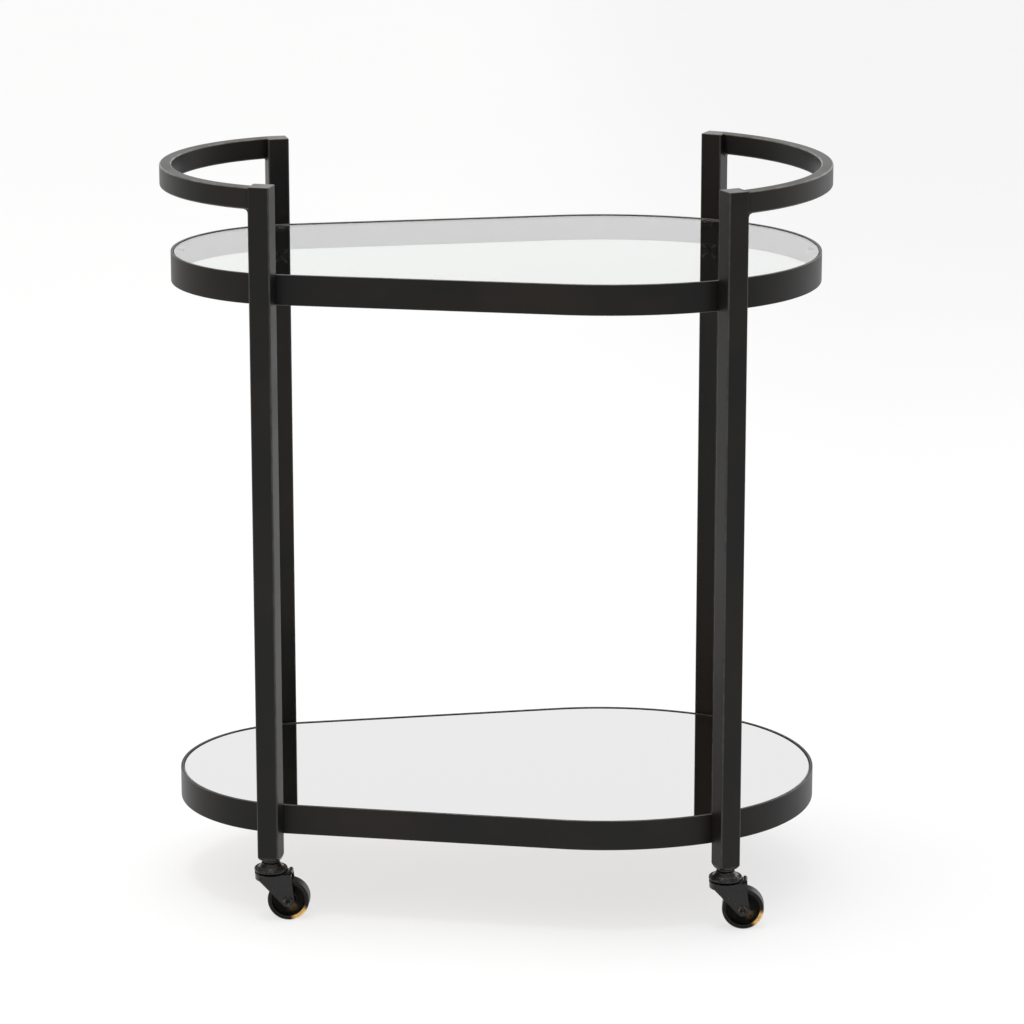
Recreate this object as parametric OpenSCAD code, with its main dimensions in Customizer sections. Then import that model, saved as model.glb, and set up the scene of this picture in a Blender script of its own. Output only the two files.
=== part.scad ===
// Bar cart: two oval trays in flat-bar rims, bolted between four square posts on swivel casters.
// Millimetres, +Z up, origin on the floor under the middle of the cart.
// The trays are narrower at the left end (-X) than at the right end, and the front (-Y) mirrors the back.

/* [Overall] */
// Height from the floor to the top of the posts and handles
total_h = 857; // [800:1:950]
// Length over the outer faces of the two handles
handle_span = 772; // [768:1:784]
// Height of the underside of the posts above the floor
post_z = 71; // [70:1:82]

/* [Tray outline] */
// Length of a tray over its rim
tray_len = 750; // [740:1:756]
// Greatest depth of a tray over its rim
tray_depth = 424; // [418:1:430]
// Radius of the narrow left end
left_r = 155; // [148:1:160]
// Radius of the broad right end
right_r = 200; // [192:1:204]
// Radius of the shoulder between the broad end and the straight side
shoulder_r = 310; // [290:5:330]

/* [Trays] */
// Height of the flat-bar rims
rim_h = 35; // [30:1:40]
// Thickness of the flat-bar rims
rim_t = 3; // [2:0.5:4]
// Level of the upper rim's top edge
top_rim_z = 755; // [700:1:765]
// Level of the lower rim's top edge
bottom_rim_z = 133; // [131:1:165]
// Depth of each pane below its rim's top edge
pane_recess = 1; // [1:0.5:5]
// Thickness of the clear glass pane
glass_t = 5; // [4:1:6]
// Thickness of the mirror pane
mirror_t = 4; // [3:1:5]
// Thickness of the board behind the mirror
backing_t = 3; // [2:1:5]

/* [Posts and handles] */
// Width of the square post tube
post_w = 25; // [22:0.5:28]
// Wall thickness of the post and handle tubes
tube_wall = 1.5; // [1:0.25:2]
// Corner radius of the post and handle tubes
tube_corner = 2; // [1.75:0.25:3]
// Turn of the left posts away from square
left_post_turn = 14; // [10:1:18]
// Turn of the right posts away from square
right_post_turn = 25; // [20:1:27]
// Height of the handle tube
handle_h = 25; // [20:1:30]
// Thickness of the handle tube
handle_t = 14; // [12:1:16]

/* [Casters] */
// Diameter of a caster wheel
wheel_d = 48; // [46:1:50]
// Width of a caster tyre
tyre_w = 18; // [16:1:18]
// Horizontal distance from the swivel axis to the wheel axle
trail = 20.5; // [19:0.5:22]
// Turn of each caster about its stem: front left, front right, back left, back right
caster_turns = [-4, -4, -8, -8]; // [-180:1:180]

/* [Hidden] */
$fn = 64;

CORNERS = ["front_left", "front_right", "back_left", "back_right"];
ENDS = [-1, 1, -1, 1];   // -1 at the left end, 1 at the right end
ROWS = [-1, -1, 1, 1];   // -1 at the front, 1 at the back

// Finishes
black = "#2b2a27";
dark = "#1b1a19";
zinc = "#8f8f8c";
clear = "#cfe3dc";
silver = "#d5d8d9";
board = "#6f5b45";

// Tray outline: end arcs centred on the X axis, a shoulder arc that blends the broad end,
// and a straight side that is tangent to the shoulder and to the narrow end
left_cx = left_r - tray_len / 2;
right_cx = tray_len / 2 - right_r;
shoulder_cy = tray_depth / 2 - shoulder_r;
shoulder_cx = right_cx - sqrt(pow(shoulder_r - right_r, 2) - pow(shoulder_cy, 2));
blend_a = atan2(-shoulder_cy, right_cx - shoulder_cx);
side_dx = shoulder_cx - left_cx;
side_d = sqrt(side_dx * side_dx + shoulder_cy * shoulder_cy);
side_a = atan2(shoulder_cy, side_dx) + acos((left_r - shoulder_r) / side_d);
arc_step = 3;

// Posts
post_foot_h = 4;
tube_z = post_z + post_foot_h;
tube_in = post_w - 2 * tube_wall;
bung_h = 26;
foot_bottom_r = 12;
foot_top_r = 17.5;
tab_w = 18;
tab_h = 17;
tab_corner = 3;
screw_drop = 8;
screw_r = 3;
screw_len = 10.2;
screw_hole_r = screw_r + 0.2;
running_gap = 0.05;
stem_r = 4;
socket_r = stem_r + 0.1;
socket_wall = 0.6;
stem_top = post_z + 24;
handle_z = total_h - handle_h;
weld_r = 4;
weld_len = 9;
cut = 60;   // side of a block that cuts a piece away

// Levels in the trays
glass_z = top_rim_z - pane_recess - glass_t;
bumper_t = 1;
bumper_r = 4;
support_t = 2.5;
support_w = 18;
support_depth = 14;
bumper_back = 9;
top_support_z = glass_z - bumper_t - support_t;
mirror_z = bottom_rim_z - pane_recess - mirror_t;
backing_z = mirror_z - backing_t;
bottom_support_z = backing_z - support_t;
pane_gap = 0.6;

// Casters: radii across the axle and levels up the stem
wheel_r = wheel_d / 2;
tyre_t = 3;
hub_half = 9.8;
hub_r = 7.5;
axle_r = 3;
bush_r = 4.2;
leg_gap = 0.5;
leg_t = 2;
leg_y = hub_half + leg_gap;
axle_boss_r = 7.5;
leg_front = -13.5;
crown_r = 18.8;
crown_t = 2;
crown_z = wheel_r + 29.5;
crown_top = crown_z + crown_t;
crown_back = 24.5;
crown_rim = 0.4;
skirt_h = 5.5;
skirt_a = 100;
nose_h = 4.8;
curl_r = 2.8;
curl_t = 1.5;
curl_w = 14;
curl_x = 22.5;
curl_a = 250;
rivet_r = 6;
rivet_h = 1.3;
rivet_bore_r = 2.2;
ball_r = 1.6;
ball_circle_r = 14.5;
ball_count = 12;
ball_z = crown_top + 0.3 + ball_r;
race_z = ball_z + ball_r;
race_r = 19.3;
collar_r = 8.8;
race_h = 8.8;
collar_z = race_z + race_h;

function turned(v, a) = [v[0] * cos(a) - v[1] * sin(a), v[0] * sin(a) + v[1] * cos(a)];
function arc(cx, cy, r, a0, a1) =
    let (n = max(2, ceil(abs(a1 - a0) / arc_step)))
    [for (i = [0:n]) let (a = a0 + (a1 - a0) * i / n) [cx + r * cos(a), cy + r * sin(a)]];
function tray_outline(inset) = concat(
    arc(right_cx, 0, right_r - inset, -blend_a, blend_a),
    arc(shoulder_cx, shoulder_cy, shoulder_r - inset, blend_a, side_a),
    arc(left_cx, 0, left_r - inset, side_a, 360 - side_a),
    arc(shoulder_cx, -shoulder_cy, shoulder_r - inset, 360 - side_a, 360 - blend_a)
);
// Angle on a circle at which a line from point p touches it; side is 1 or -1
function tangent_angle(p, c, r, side) =
    let (v = p - c) atan2(v[1], v[0]) + side * acos(r / norm(v));

// Each post stands on the outline, turned to face along its normal
function post_turn(end) = end < 0 ? left_post_turn : right_post_turn;
function post_xy(end, row) =
    let (s = sin(post_turn(end)), c = cos(post_turn(end)))
    end < 0
        ? [left_cx - (left_r + post_w / 2) * s, row * (left_r + post_w / 2) * c]
        : [shoulder_cx + (shoulder_r + post_w / 2) * s,
           row * (shoulder_cy + (shoulder_r + post_w / 2) * c)];
function post_rot(end, row) = row > 0 ? -end * post_turn(end) : 180 + end * post_turn(end);

// The handle's outer arc runs from the outer corner of one post round the end to the other
function handle_corner(end) =
    post_xy(end, 1) + turned([end * post_w / 2, post_w / 2], post_rot(end, 1));
function handle_r(end) =
    let (c = handle_corner(end), dx = handle_span / 2 - end * c[0])
    (dx * dx + c[1] * c[1]) / (2 * dx);
function handle_cx(end) = end * (handle_span / 2 - handle_r(end));

// Post frame: +Y points away from the trays, the origin is on the tube's centre line
module at_post(i) {
    xy = post_xy(ENDS[i], ROWS[i]);
    translate([xy[0], xy[1], 0]) rotate([0, 0, post_rot(ENDS[i], ROWS[i])]) children();
}

// Caster frame: the origin is on the floor under the stem, +X points to the trailing wheel
module at_caster(i) {
    xy = post_xy(ENDS[i], ROWS[i]);
    translate([xy[0], xy[1], 0]) rotate([0, 0, caster_turns[i]]) children();
}

module rounded_rect(w, h, r) {
    translate([-w / 2 + r, -h / 2]) square([w - 2 * r, h]);
    translate([-w / 2, -h / 2 + r]) square([w, h - 2 * r]);
    for (x = [-1, 1], y = [-1, 1]) translate([x * (w / 2 - r), y * (h / 2 - r)]) circle(r = r);
}

module slab(z, t, inset) {
    translate([0, 0, z]) linear_extrude(t) polygon(tray_outline(inset));
}

// ---- Posts and handles ----

// Square tube with a hole in its inner wall for each tray screw
module post(i) {
    color(black) at_post(i) difference() {
        translate([0, 0, tube_z]) linear_extrude(total_h - tube_z)
            rounded_rect(post_w, post_w, tube_corner);
        translate([0, 0, tube_z - 1]) linear_extrude(total_h - tube_z + 2)
            rounded_rect(tube_in, tube_in, tube_corner - tube_wall);
        for (z = [top_rim_z, bottom_rim_z])
            translate([0, 0, z - rim_h - screw_drop]) rotate([90, 0, 0])
                cylinder(r = screw_hole_r, h = post_w);
    }
}

// Plate welded inside the top of each post
module post_top_plates() {
    color(black) for (i = [0:3]) at_post(i)
        translate([0, 0, total_h - tube_wall]) linear_extrude(tube_wall)
            rounded_rect(tube_in, tube_in, tube_corner - tube_wall);
}

// Bung in the foot of each post: its rounded flange closes the tube, the stem screws up into it
// and the lower tray's screw goes into it from the side
module post_bungs() {
    color(black) for (i = [0:3]) at_post(i) difference() {
        union() {
            intersection() {
                translate([0, 0, post_z]) linear_extrude(post_foot_h)
                    rounded_rect(post_w, post_w, tube_corner);
                translate([0, 0, post_z]) cylinder(r1 = foot_bottom_r, r2 = foot_top_r, h = post_foot_h);
            }
            translate([0, 0, tube_z]) linear_extrude(bung_h)
                rounded_rect(tube_in - 0.2, tube_in - 0.2, tube_corner - tube_wall);
        }
        translate([0, 0, post_z - 1]) cylinder(r = socket_r, h = stem_top + 2 - post_z);
        translate([0, -socket_r - socket_wall, bottom_rim_z - rim_h - screw_drop]) rotate([90, 0, 0])
            cylinder(r = screw_r + running_gap, h = post_w);
    }
}

// Bent rectangular tube round one end, coped to the side faces of its two posts
module handle(end) {
    r = handle_r(end);
    cx = handle_cx(end);
    xy = post_xy(end, 1);
    half_a = atan2(xy[1], end * (xy[0] - cx));
    color(black) difference() {
        translate([cx, 0, handle_z + handle_h / 2]) rotate([0, 0, (end < 0 ? 180 : 0) - half_a])
            rotate_extrude(angle = 2 * half_a, $fn = 180) translate([r - handle_t / 2, 0])
                difference() {
                    rounded_rect(handle_t, handle_h, tube_corner);
                    rounded_rect(handle_t - 2 * tube_wall, handle_h - 2 * tube_wall,
                                 tube_corner - tube_wall);
                }
        for (i = [0:3]) if (ENDS[i] == end) at_post(i)
            translate([end * ROWS[i] > 0 ? post_w / 2 - cut : -post_w / 2, -cut / 2, handle_z - 1])
                cube([cut, cut, handle_h + 2]);
    }
}

// Fillet weld in the corner under each handle end
module handle_welds() {
    color(black) for (i = [0:3]) at_post(i) {
        side = ENDS[i] * ROWS[i];
        translate([side * post_w / 2, post_w / 2 - handle_t / 2 - 0.5, handle_z])
            rotate([90, 0, 0]) linear_extrude(weld_len, center = true) difference() {
                translate([side > 0 ? 0 : -weld_r, -weld_r]) square(weld_r);
                translate([side * weld_r, -weld_r]) circle(r = weld_r);
            }
    }
}

// ---- Trays ----

// Flat bar rolled to the tray outline and welded shut
module rim(z) {
    color(black) difference() {
        slab(z - rim_h, rim_h, 0);
        slab(z - rim_h - 1, rim_h + 2, rim_t);
    }
}

// Frames for the six pane supports of a tray: one at each post and one at each end
module at_supports() {
    for (i = [0:3]) at_post(i) translate([0, -post_w / 2, 0]) children();
    for (end = [-1, 1]) translate([end * tray_len / 2, 0, 0]) rotate([0, 0, -90 * end]) children();
}

// Flat tabs welded inside the rim, on which the pane rests
module supports(z) {
    color(black) intersection() {
        at_supports() translate([-support_w / 2, -rim_t - support_depth, z])
            cube([support_w, rim_t + support_depth, support_t]);
        slab(z - 1, support_t + 2, rim_t);
    }
}

// Ears welded under the rim, each flat against a post
module tabs(z) {
    color(black) for (i = [0:3]) at_post(i) difference() {
        translate([0, -post_w / 2, z - rim_h - tab_h / 2]) rotate([90, 0, 0])
            linear_extrude(rim_t) difference() {
                rounded_rect(tab_w, tab_h, tab_corner);
                translate([0, tab_h / 2 - screw_drop]) circle(r = screw_hole_r);
            }
    }
}

// Button-head screw with a hexagon socket, lying along +Y with its head at the origin
module button_screw() {
    head_r = 4.75;
    head_h = 2.8;
    dome_drop = 2.6;
    socket_depth = 1.8;
    difference() {
        rotate([-90, 0, 0]) {
            rotate_extrude() intersection() {
                translate([0, -head_h]) square([head_r, head_h]);
                translate([0, dome_drop]) circle(r = dome_drop + head_h);
            }
            cylinder(r = screw_r, h = screw_len);
        }
        translate([0, -head_h - 1, 0]) rotate([-90, 0, 0])
            cylinder(r = 2, h = socket_depth + 1, $fn = 6);
    }
}

module tray_screws(z) {
    color(dark) for (i = [0:3]) at_post(i)
        translate([0, -post_w / 2 - rim_t, z - rim_h - screw_drop]) button_screw();
}

// Weld nuts inside the posts for the upper tray's screws
module top_nuts() {
    nut_t = 5;
    nut_r = 5.6;
    color(zinc) for (i = [0:3]) at_post(i)
        translate([0, -tube_in / 2, top_rim_z - rim_h - screw_drop]) rotate([-90, 0, 0])
            difference() {
                cylinder(r = nut_r, h = nut_t, $fn = 6);
                translate([0, 0, -1]) cylinder(r = screw_r + running_gap, h = nut_t + 2);
            }
}

// Clear pads between the glass and its supports
module top_bumpers() {
    color(clear) at_supports() translate([0, -rim_t - bumper_back, glass_z - bumper_t])
        cylinder(r = bumper_r, h = bumper_t);
}

module pane(z, t, shade) {
    color(shade) slab(z, t, rim_t + pane_gap);
}

// ---- Casters ----

// Threaded stem with a round collar, a swivel journal and a riveted foot
module stem(i) {
    foot_h = 2.3;
    color(dark) at_caster(i) {
        translate([0, 0, crown_z - 0.3 - foot_h]) cylinder(r = stem_r + 2.2, h = foot_h);
        translate([0, 0, crown_z - 0.3]) cylinder(r = stem_r, h = stem_top - crown_z + 0.3);
        translate([0, 0, collar_z]) cylinder(r = collar_r, h = post_z - collar_z);
    }
}

// Domed upper race, pressed onto the stem
module race_plate(i) {
    color(dark) at_caster(i) rotate_extrude() translate([0, race_z]) polygon([
        [stem_r, race_h - 2.4], [8.8, race_h - 2.4], [11.8, 0.4], [12.2, 0], [17.6, 0], [17.8, -0.9],
        [race_r, -0.9], [race_r, 1.2], [18.2, 2.2], [14.2, 3.2], [10.6, race_h - 0.4],
        [9.8, race_h], [stem_r, race_h],
    ]);
}

module balls(i) {
    color(zinc) at_caster(i) for (k = [0:ball_count - 1]) rotate([0, 0, 360 * k / ball_count])
        translate([ball_circle_r, 0, ball_z]) sphere(r = ball_r, $fn = 24);
}

// Side plate of the fork in its own plane: x along the trail, y up
module leg_outline() {
    hub = [trail, wheel_r];
    front_a = tangent_angle([leg_front, crown_z - nose_h], hub, axle_boss_r, 1);
    back_a = tangent_angle([crown_back, crown_z], hub, axle_boss_r, -1);
    polygon(concat(
        [[crown_back, crown_z + 1], [leg_front, crown_z + 1], [leg_front, crown_z - nose_h]],
        arc(hub[0], hub[1], axle_boss_r, front_a, back_a + 360)
    ));
}

// Pressed fork: crown plate with the swivel bore, front skirt, two legs and a curled rear edge
module fork(i) {
    leg_out = leg_y + leg_t;
    color(black) at_caster(i) difference() {
        union() {
            translate([0, 0, crown_z]) linear_extrude(crown_t) {
                circle(r = crown_r);
                translate([0, -leg_out]) square([crown_back, 2 * leg_out]);
            }
            translate([0, 0, crown_z - skirt_h]) rotate([0, 0, 180 - skirt_a / 2])
                rotate_extrude(angle = skirt_a) translate([crown_r - leg_t - crown_rim, 0])
                    square([leg_t, skirt_h + 1]);
            for (s = [-1, 1]) translate([0, s * (leg_y + leg_t / 2), 0]) rotate([90, 0, 0])
                linear_extrude(leg_t, center = true) leg_outline();
            translate([curl_x, 0, crown_z + curl_r]) rotate([90, 0, 0]) rotate([0, 0, -90])
                rotate_extrude(angle = curl_a) translate([curl_r - curl_t, -curl_w / 2])
                    square([curl_t, curl_w]);
        }
        translate([0, 0, crown_z - 1]) cylinder(r = stem_r + running_gap, h = crown_t + 2);
        translate([trail, leg_out + 1, wheel_r]) rotate([90, 0, 0])
            cylinder(r = axle_r, h = 2 * leg_out + 2);
    }
}

// Tubular rivet through both legs
module axle(i) {
    leg_out = leg_y + leg_t;
    color(dark) at_caster(i) translate([trail, 0, wheel_r]) rotate([90, 0, 0]) difference() {
        union() {
            cylinder(r = axle_r, h = 2 * leg_out, center = true);
            for (s = [0, 180]) rotate([s, 0, 0]) translate([0, 0, leg_out]) rotate_extrude()
                polygon([[0, 0], [rivet_r, 0], [rivet_r, rivet_h / 2],
                         [rivet_r - rivet_h / 2, rivet_h], [0, rivet_h]]);
        }
        cylinder(r = rivet_bore_r, h = 4 * leg_out, center = true);
    }
}

module at_axle(i) {
    at_caster(i) translate([trail, 0, wheel_r]) rotate([90, 0, 0]) children();
}

module bush(i) {
    color("#b08d4c") at_axle(i) difference() {
        cylinder(r = bush_r, h = 2 * hub_half, center = true);
        cylinder(r = axle_r + running_gap, h = 3 * hub_half, center = true);
    }
}

// Wheel body: hub, thin web and the ring that carries the tyre
module wheel_core(i) {
    ring_r = wheel_r - tyre_t;
    ring_half = tyre_w / 2 - 0.5;
    color(dark) at_axle(i) rotate_extrude() polygon([
        [bush_r, -hub_half], [hub_r, -hub_half], [hub_r + 0.5, -2.5], [ring_r - 2, -2.5],
        [ring_r - 1.5, -ring_half], [ring_r, -ring_half], [ring_r, ring_half],
        [ring_r - 1.5, ring_half], [ring_r - 2, 2.5], [hub_r + 0.5, 2.5], [hub_r, hub_half],
        [bush_r, hub_half],
    ]);
}

module tyre(i) {
    color(dark) at_axle(i) rotate_extrude($fn = 96)
        translate([wheel_r - tyre_t / 2, 0]) rounded_rect(tyre_t, tyre_w, 1.3);
}

post(0);  // post_front_left
post(1);  // post_front_right
post(2);  // post_back_left
post(3);  // post_back_right
post_top_plates();
post_bungs();
handle(-1);  // handle_left
handle(1);  // handle_right
handle_welds();
rim(top_rim_z);  // top_rim
supports(top_support_z);  // top_supports
tabs(top_rim_z);  // top_tabs
tray_screws(top_rim_z);  // top_screws
top_nuts();
top_bumpers();
pane(glass_z, glass_t, clear);  // top_glass
rim(bottom_rim_z);  // bottom_rim
supports(bottom_support_z);  // bottom_supports
tabs(bottom_rim_z);  // bottom_tabs
tray_screws(bottom_rim_z);  // bottom_screws
pane(backing_z, backing_t, board);  // mirror_backing
pane(mirror_z, mirror_t, silver);  // mirror
for (i = [0:3]) {
    stem(i);
    race_plate(i);
    balls(i);
    fork(i);
    axle(i);
    bush(i);
    wheel_core(i);
    tyre(i);
}
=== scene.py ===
"""Bar cart on wheels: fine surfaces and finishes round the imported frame. Metres, +Z up."""
from math import acos, atan2, cos, degrees, pi, radians, sin, sqrt

import bmesh
import bpy
import numpy as np
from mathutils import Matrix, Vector


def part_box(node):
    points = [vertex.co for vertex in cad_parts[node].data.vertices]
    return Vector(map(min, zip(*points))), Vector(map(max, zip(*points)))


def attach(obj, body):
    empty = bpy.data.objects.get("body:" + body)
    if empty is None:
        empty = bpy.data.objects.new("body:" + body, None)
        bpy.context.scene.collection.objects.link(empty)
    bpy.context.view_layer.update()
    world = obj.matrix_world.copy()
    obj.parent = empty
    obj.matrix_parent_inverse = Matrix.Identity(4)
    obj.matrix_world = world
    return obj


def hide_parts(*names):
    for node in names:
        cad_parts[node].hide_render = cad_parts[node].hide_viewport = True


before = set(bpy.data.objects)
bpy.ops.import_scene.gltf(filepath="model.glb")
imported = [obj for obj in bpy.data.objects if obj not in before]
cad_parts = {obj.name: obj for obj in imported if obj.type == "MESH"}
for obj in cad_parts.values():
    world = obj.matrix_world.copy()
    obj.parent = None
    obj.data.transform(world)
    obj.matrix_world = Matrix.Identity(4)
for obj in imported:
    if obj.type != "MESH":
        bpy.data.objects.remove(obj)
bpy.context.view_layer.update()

MM = 0.001
CORNERS = ("front_left", "front_right", "back_left", "back_right")
END = dict(zip(CORNERS, (-1, 1, -1, 1)))
ROW = dict(zip(CORNERS, (-1, -1, 1, 1)))
CASTER_TURN = dict(zip(CORNERS, (-4, -4, -8, -8)))

# Driving sizes of the cart
TRAY_LEN, TRAY_DEPTH = 750 * MM, 424 * MM
LEFT_R, RIGHT_R, SHOULDER_R = 155 * MM, 200 * MM, 310 * MM
RIM_T, RIM_EDGE = 3 * MM, 0.7 * MM
POST_W, POST_CORNER, TUBE_WALL = 25 * MM, 2 * MM, 1.5 * MM
POST_TURN = {-1: 14, 1: 25}
HANDLE_H, HANDLE_T = 25 * MM, 14 * MM
HANDLE_SPAN = 772 * MM
WHEEL_R, TRAIL = 24 * MM, 20.5 * MM
PANE_GAP = 0.6 * MM
EAR_W = 18 * MM

# Sizes of a caster in millimetres, as its turned profiles take them
JOURNAL_R, COLLAR_R, RACE_R = 4, 8.8, 19.3
RIVET_R, RIVET_HEAD_R, RIVET_BORE_R = 3, 6, 2.2
LEG_FACE, RIVET_TOP = 12.3, 13.6
BUSH_R, BUSH_WALL, HUB_HALF = 3.05, 1.15, 9.8
HUB_R, WEB_HALF, WEB_R = 7.5, 2.5, 19
RING_R, RING_HALF = 21, 8.5
TYRE_T, TYRE_W = 3, 18

# Stretch of bare brass on each wheel, in degrees below its trailing side; its middle has a painted
# highlight
BARE = {"front_left": (21, 81), "front_right": (4, 59), "back_left": (120, 150),
        "back_right": (-60, -25)}


# ---- Materials ----

class Value:
    """A float socket of a material; arithmetic on it adds Math nodes."""

    def __init__(self, finish, socket):
        self.finish, self.socket = finish, socket

    def math(self, operation, *others):
        """A Math node on this value and the others."""
        return self.finish.node("ShaderNodeMath", {"operation": operation},
                                dict(enumerate((self, *others))))

    def __add__(self, other): return self.math("ADD", other)
    def __radd__(self, other): return self.math("ADD", other)
    def __mul__(self, other): return self.math("MULTIPLY", other)
    def __rmul__(self, other): return self.math("MULTIPLY", other)
    def __sub__(self, other): return self.math("SUBTRACT", other)

    def __rsub__(self, other):
        return self.finish.node("ShaderNodeMath", {"operation": "SUBTRACT"}, {0: other, 1: self})

    def clamp(self):
        """The value held between 0 and 1."""
        return self.finish.node("ShaderNodeClamp", {}, {"Value": self})

    def ramp(self, low, high):
        """0 below low and 1 above high, with a smooth step between."""
        return self.finish.node("ShaderNodeMapRange", {"interpolation_type": "SMOOTHSTEP"},
                                {"Value": self, "From Min": low, "From Max": high})


class NodeTree:
    """A node tree and the one way in which nodes are added to it."""

    def __init__(self, tree):
        self.tree = tree

    def put(self, node, key, value):
        """Links a value to a node's socket, or sets the socket to a number or colour."""
        if isinstance(value, Value):
            value = value.socket
        if isinstance(value, bpy.types.NodeSocket):
            self.tree.links.new(value, node.inputs[key])
        else:
            node.inputs[key].default_value = value

    def node(self, kind, settings, inputs, output=0):
        """Adds a node: its settings first, then the values or links of its sockets."""
        node = self.tree.nodes.new(kind)
        for key, value in settings.items():
            setattr(node, key, value)
        for key, value in inputs.items():
            self.put(node, key, value)
        return Value(self, node.outputs[output])


class Finish(NodeTree):
    """One node material round a Principled shader."""

    def __init__(self, name, **sockets):
        self.material = bpy.data.materials.new(name)
        self.material.use_nodes = True
        super().__init__(self.material.node_tree)
        self.tree.nodes.clear()
        self.shader = self.tree.nodes.new("ShaderNodeBsdfPrincipled")
        output = self.tree.nodes.new("ShaderNodeOutputMaterial")
        self.tree.links.new(self.shader.outputs[0], output.inputs["Surface"])
        self.place = self.tree.nodes.new("ShaderNodeTexCoord").outputs["Object"]
        self.set(**sockets)

    def set(self, **sockets):
        """Sets or links the shader's sockets; Base_Color stands for 'Base Color'."""
        for key, value in sockets.items():
            self.put(self.shader, key.replace("_", " "), value)
        return self

    def noise(self, scale, detail=3.0, rough=0.5):
        """Even noise on the piece's own place; a larger scale gives a finer grain."""
        return self.node("ShaderNodeTexNoise", {"noise_dimensions": "3D"},
                         {"Vector": self.place, "Scale": scale, "Detail": detail,
                          "Roughness": rough})

    def stretched(self, scales, scale, detail=2.0):
        """Noise drawn out along the axes whose scales are small."""
        where = self.node("ShaderNodeMapping", {}, {"Vector": self.place, "Scale": scales})
        return self.node("ShaderNodeTexNoise", {},
                         {"Vector": where, "Scale": scale, "Detail": detail})

    def attribute(self, name):
        """A mark stored on the piece's points: wear, and on the frame's edges and the bare brass also
        a painted highlight.
        """
        return self.node("ShaderNodeAttribute", {"attribute_name": name}, {}, "Fac")

    def mix(self, factor, first, second):
        """Blends two colours."""
        return self.node("ShaderNodeMix", {"data_type": "RGBA"},
                         {0: factor, 6: colour(first), 7: colour(second)}, 2)

    def bump(self, height, depth, strength=1.0):
        """Relief from a height between 0 and 1, its depth in metres."""
        self.set(Normal=self.node("ShaderNodeBump", {},
                                  {"Height": height, "Distance": depth, "Strength": strength}))
        return self


def colour(value):
    """A colour given by three numbers with its alpha added; a link stays as it is."""
    return (*value, 1.0) if isinstance(value, tuple) and len(value) == 3 else value


def powder_coat(name):
    """Satin black powder coat: orange-peel texture, cloudy warm patches, edges painted paler, partly
    rubbed wear and partly a painted highlight along the rounded edges.
    """
    f = Finish(name, IOR=1.5, Specular_IOR_Level=0.22)
    cloud = f.noise(9.0, 3.0).ramp(0.36, 0.70)
    grain = f.noise(420.0, 4.0, 0.6)
    dust = f.noise(1500.0, 2.0).ramp(0.66, 0.80)
    # Edge mark: the edges painted paler, partly rubbed wear and partly a painted highlight along the
    # rounded edges
    paler_edges = f.attribute("edge") * (0.6 + 0.4 * f.noise(60.0, 3.0).ramp(0.36, 0.62))
    body = f.mix(cloud, (0.0060, 0.0060, 0.0059), (0.0145, 0.0115, 0.0090))
    speckled = f.mix(dust * 0.35, body, (0.030, 0.028, 0.025))
    # The coat mixed towards pale grey on its edges: wear and painted highlight together
    worn = f.mix(paler_edges * 0.8, speckled, (0.22, 0.21, 0.19))
    f.set(Base_Color=worn)
    f.set(Roughness=(0.33 + 0.10 * grain - 0.06 * paler_edges + 0.08 * cloud).clamp())
    peel = f.noise(750.0, 2.0, 0.4)
    return f.bump(peel + 0.35 * grain, 0.00006, 0.5).material


def black_oxide(name):
    """Oiled black screws: tight sheen with turning marks."""
    f = Finish(name, Metallic=0.55, IOR=1.5)
    spots = f.noise(900.0, 3.0)
    paler_edges = (f.attribute("edge") * f.noise(500.0).ramp(0.4, 0.6)).clamp()
    f.set(Base_Color=f.mix(paler_edges * 0.7, f.mix(spots, (0.010, 0.010, 0.010), (0.024, 0.022, 0.020)),
                           (0.13, 0.125, 0.12)))
    f.set(Roughness=(0.30 + 0.15 * spots).clamp())
    return f.bump(spots, 0.00003, 0.4).material


def caster_black(name):
    """Black electroplate on the casters: glossier than the frame, brown where it is thin."""
    f = Finish(name, Metallic=0.1, IOR=1.5, Specular_IOR_Level=0.42)
    cloud = f.noise(70.0, 3.0).ramp(0.45, 0.72)
    grain = f.noise(1100.0, 3.0)
    paler_edges = (f.attribute("edge") * f.noise(240.0, 3.0).ramp(0.44, 0.66)).clamp()
    body = f.mix(cloud, (0.0042, 0.0041, 0.0040), (0.0088, 0.0074, 0.0058))
    f.set(Base_Color=f.mix(paler_edges * 0.8, body, (0.120, 0.104, 0.080)))
    f.set(Roughness=(0.18 + 0.14 * grain + 0.06 * cloud).clamp())
    return f.bump(grain + 0.6 * f.noise(380.0), 0.00004, 0.5).material


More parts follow.
